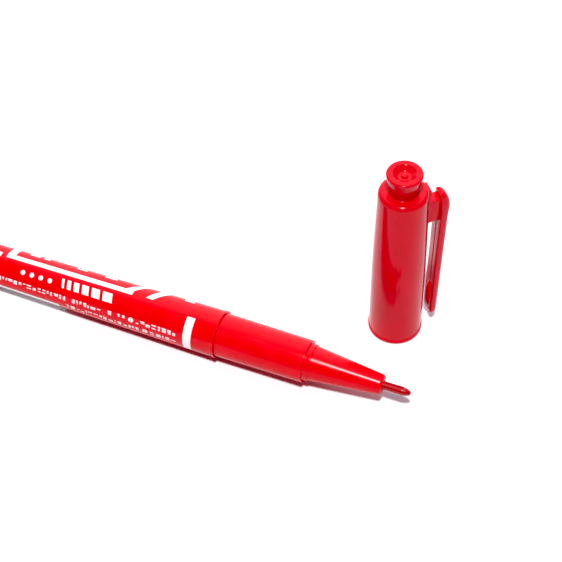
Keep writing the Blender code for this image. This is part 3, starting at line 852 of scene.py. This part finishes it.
def pip_tool():
    """The pip on the clip's inner face that grips a pocket."""
    ball = bmesh.new()
    bmesh.ops.create_uvsphere(ball, u_segments=48, v_segments=32, radius=1.0)
    bmesh.ops.scale(ball, vec=PIP_SIZE, verts=ball.verts)
    bmesh.ops.translate(ball, vec=PIP_PLACE, verts=ball.verts)
    return new_piece("pip_tool", to_mesh(ball, "pip_tool"), CAP_PLACE)


def add_clip(material):
    """The clip, from its foot over its crest to the lip that lies on the bridge, with its pip and its
    groove.
    """
    edit = bmesh.new()
    rings = [clip_ring(edit, *station) for station in clip_foot() + clip_leg() + clip_crest()]
    for first, second in zip(rings, rings[1:]):
        bridge(edit, first, second)
    edit.faces.new(rings[0])
    edit.faces.new(rings[-1])
    piece = new_piece("spring_clip", to_mesh(edit, "spring_clip"), CAP_PLACE)
    combine(piece, pip_tool(), "UNION")
    groove_low = (CLIP_INNER_BOTTOM_R - MM, -CLIP_GROOVE_HALF, CLIP_GROOVE_BOTTOM)
    groove_high = (CLIP_INNER_TOP_R + CLIP_GROOVE_DEPTH, CLIP_GROOVE_HALF, CLIP_GROOVE_TOP)
    groove = rounded_block("groove_tool", groove_low, groove_high, SUPPORT, CAP_PLACE)
    combine(piece, groove, "DIFFERENCE")
    paint(piece.data, material)
    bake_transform(piece)
    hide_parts("clip")


# ---------------------------------------------------------------- the print

def barrel_r(along):
    """The barrel's radius at a distance ahead of its front end, which is negative on the barrel."""
    return BARREL_FRONT_R + (BARREL_REAR_R - BARREL_FRONT_R) * -along / BARREL_LENGTH


def ink_vertex(edit, along, angle, lift):
    """A point at a distance ahead of the barrel's front end, and at degrees round from its top."""
    radius = barrel_r(along) + lift
    turn = math.radians(angle)
    return edit.verts.new((radius * math.cos(turn), radius * math.sin(turn), along))


def ink_patch(edit, corners):
    """A thin mark between four (along in mm, angle in degrees) corners, two at each end."""
    (a0, t0), (a1, t1), (a2, t2), (a3, t3) = corners
    turns = max(1, math.ceil(max(abs(t3 - t0), abs(t2 - t1)) / INK_TURN_STEP))
    grids = []
    for lift in (INK_PROUD, -INK_SUNK):
        rows = []
        for step in range(turns + 1):
            share = step / turns
            left = (a0 + (a3 - a0) * share, t0 + (t3 - t0) * share)
            right = (a1 + (a2 - a1) * share, t1 + (t2 - t1) * share)
            rows.append([ink_vertex(edit, left[0] * MM, left[1], lift),
                         ink_vertex(edit, right[0] * MM, right[1], lift)])
        grids.append(rows)
    top, bottom = grids
    for step in range(turns):
        for grid in grids:
            edit.faces.new((grid[step][0], grid[step][1], grid[step + 1][1], grid[step + 1][0]))
        for side in (0, 1):
            edit.faces.new((top[step][side], top[step + 1][side],
                            bottom[step + 1][side], bottom[step][side]))
    for step in (0, turns):
        edit.faces.new((top[step][0], top[step][1], bottom[step][1], bottom[step][0]))


def ink_bar(edit, start, end, low, high, slant=0.0):
    """A mark from start to end mm along the barrel and from low to high degrees round it."""
    ink_patch(edit, ((start, low), (end, low), (end + slant, high), (start + slant, high)))


def ink_dot(edit, along, angle, radius):
    """A round mark."""
    arc_r = barrel_r(along * MM) / MM
    rims = []
    for lift in (INK_PROUD, -INK_SUNK):
        rim = []
        for step in range(DOT_STEPS):
            turn = 2 * math.pi * step / DOT_STEPS
            rim.append(ink_vertex(edit, (along + radius * math.cos(turn)) * MM,
                                  angle + math.degrees(radius * math.sin(turn) / arc_r), lift))
        rims.append(rim)
    bridge(edit, rims[0], rims[1])
    for rim, lift in zip(rims, (INK_PROUD, -INK_SUNK)):
        middle = ink_vertex(edit, along * MM, angle, lift)
        bridge(edit, rim, [middle])


def dashed_row(edit, draw, start, end, middle, height, skip):
    """A row of short dashes on three thin lines, standing in for small print."""
    along = start
    while along < end:
        length = draw.uniform(*DASH_LENGTHS)
        blocked = any(low < along + length and along < high for low, high in skip)
        if not blocked:
            for line in (-1, 0, 1):
                if draw.random() < DASH_CHANCE:
                    inset = draw.uniform(0, DASH_INSET)
                    low = middle + line * height / 3 - height / 9
                    ink_bar(edit, along + inset, along + length, low, low + height / 4.5)
        along += length + draw.uniform(*DASH_GAPS)


def print_rules(edit):
    """The white rule with turned ends, the dash beside it and the bar across the front."""
    ink_bar(edit, -53.0, -51.2, -62, -10)
    ink_bar(edit, -53.0, -21.2, -9, 5)
    ink_patch(edit, ((-23.2, -9), (-21.2, -9), (-17.6, -58), (-19.2, -58)))
    ink_patch(edit, ((-17.9, 1), (-16.2, 1), (-13.2, -44), (-15.6, -44)))
    ink_bar(edit, -7.2, -5.3, 16.5, 112)


def print_blocks(edit):
    """Plain blocks: strokes that grow in width, dots, a blank panel and short strokes beside them."""
    along = -38.0
    for width in (0.6, 0.95, 1.3, 1.65, 2.0, 2.35):
        ink_bar(edit, along, along + width, 18, 42, slant=0.5)
        along += width + 0.75
    for step in range(4):
        ink_dot(edit, -47.6 + 2.3 * step, 34, 0.55)
    ink_dot(edit, -19.8, 69, 0.62)
    ink_dot(edit, -16.4, 92, 0.62)
    ink_bar(edit, -56.0, -38.2, 101, 158)
    for start, end in ((-48.5, -46.0), (-45.0, -43.5), (-36.5, -34.0), (-29.5, -26.5), (-9.9, -7.6)):
        ink_bar(edit, start, end, -40, -31)
    ink_bar(edit, -56.2, -54.4, -6, 8)


def print_rows(edit):
    """Two rows of dashes, each with a gap where a dot is."""
    draw = random.Random(PRINT_SEED)
    dashed_row(edit, draw, -53.5, -8.8, 69, 13, skip=((-20.6, -19.0),))
    dashed_row(edit, draw, -36.0, -9.0, 93, 12, skip=((-17.2, -15.6),))


def add_print(material):
    for name, marks in (("print_rules", print_rules), ("print_blocks", print_blocks),
                        ("print_rows", print_rows)):
        edit = bmesh.new()
        marks(edit)
        piece = new_piece(name, to_mesh(edit, name), PEN_FRONT)
        piece.data.set_sharp_from_angle(angle=SHARP_ANGLE)
        finish_piece(piece, material, "pen")


# ---------------------------------------------------------------- the stage

def add_floor(material):
    half = FLOOR_SIZE / 2
    edit = bmesh.new()
    corners = [edit.verts.new((x, y, -FLOOR_DROP)) for x, y in
               ((-half, -half), (half, -half), (half, half), (-half, half))]
    edit.faces.new(corners)
    floor = new_piece("floor", to_mesh(edit, "floor"), Matrix.Identity(4))
    paint(floor.data, material)


def direction(turn, height_angle):
    """A unit vector that points up and outwards, turned from -Y towards +X."""
    level = math.cos(height_angle)
    return Vector((math.sin(turn) * level, -math.cos(turn) * level, math.sin(height_angle)))


def add_lights(scene):
    """One soft lamp, and the sky."""
    sun = bpy.data.lights.new("key_light", "SUN")
    sun.energy = KEY_STRENGTH
    sun.angle = KEY_SPREAD
    sun.color = KEY_COLOUR
    lamp = bpy.data.objects.new("key_light", sun)
    lamp.rotation_mode = "QUATERNION"
    lamp.rotation_quaternion = (-direction(KEY_TURN, KEY_HEIGHT_ANGLE)).to_track_quat("-Z", "Y")
    scene.collection.objects.link(lamp)
    scene.world = soft_sky()


def soft_sky():
    """A plain pale dome, brightest opposite the camera, as a white backdrop makes it."""
    world = bpy.data.worlds.new("studio")
    world.use_nodes = True
    nodes = world.node_tree.nodes
    links = world.node_tree.links
    towards = nodes.new("ShaderNodeVectorMath")
    towards.operation = "DOT_PRODUCT"
    towards.inputs[1].default_value = direction(CAMERA_TURN + math.pi, SKY_BRIGHT_HEIGHT_ANGLE)
    level = nodes.new("ShaderNodeMapRange")
    level.interpolation_type = "SMOOTHSTEP"
    level.inputs["From Min"].default_value = SKY_BRIGHT_FROM
    level.inputs["To Min"].default_value = SKY_LOW
    level.inputs["To Max"].default_value = SKY_HIGH
    background = nodes["Background"]
    background.inputs["Color"].default_value = (*SKY_COLOUR, 1.0)
    links.new(nodes.new("ShaderNodeTexCoord").outputs["Generated"], towards.inputs[0])
    links.new(towards.outputs["Value"], level.inputs["Value"])
    links.new(level.outputs["Result"], background.inputs["Strength"])
    return world


def add_camera(scene):
    aim = Vector((FRONT.x + AIM_AHEAD, FRONT.y + AIM_ACROSS, 0))
    back = direction(CAMERA_TURN, CAMERA_HEIGHT_ANGLE)
    right = UP.cross(back).normalized()
    level_frame = Matrix((right, back.cross(right), back)).transposed().to_4x4()
    data = bpy.data.cameras.new("camera")
    data.lens = CAMERA_LENS
    data.sensor_width = CAMERA_SENSOR
    camera = bpy.data.objects.new("camera", data)
    scene.collection.objects.link(camera)
    camera.matrix_world = (Matrix.Translation(aim + back * CAMERA_DISTANCE) @ level_frame
                           @ Matrix.Rotation(CAMERA_ROLL, 4, "Z"))
    scene.camera = camera


def finish_kept_nodes(reservoir, film):
    """The CAD nodes that stay, inside the barrel."""
    for name, material in (("ink_reservoir", reservoir), ("reservoir_sleeve", film)):
        paint(frame["nodes"][name].data, material)


def set_tone(scene):
    """Standard colours with slightly crushed darks, as the photograph's are."""
    view = scene.view_settings
    view.view_transform = "Standard"
    view.use_curve_mapping = True
    view.curve_mapping.black_level = BLACK_LEVEL
    view.curve_mapping.update()


def main():
    scene = bpy.context.scene
    set_tone(scene)
    add_camera(scene)
    add_lights(scene)
    add_floor(floor_paper())
    body_red = plastic("barrel_red", RED, BRIGHT_RED, 0.1, 0.18, 0.02 * MM)
    section_red = plastic("section_red", RED, BRIGHT_RED, 0.2, 0.17, 0.03 * MM)
    cap_red = plastic("cap_red", CAP_RED, CAP_BRIGHT_RED, 0.12, 0.18, 0.02 * MM)
    milk = milky_plastic()
    add_barrel(body_red)
    add_front_section(section_red)
    add_fine_nib(inked_fibre("fine_nib_fibre", DARK_WINE, WINE, 0.5))
    add_rear_section(section_red)
    add_chisel_nib(inked_fibre("chisel_nib_felt", DARK_WINE, WINE, 0.3))
    add_front_cap(cap_red)
    add_rear_cap(cap_red)
    add_seals(milk)
    add_clip(cap_red)
    add_print(white_ink())
    finish_kept_nodes(inked_fibre("reservoir_fibre", WINE, PALE_WINE, 0.1), clear_film())


main()
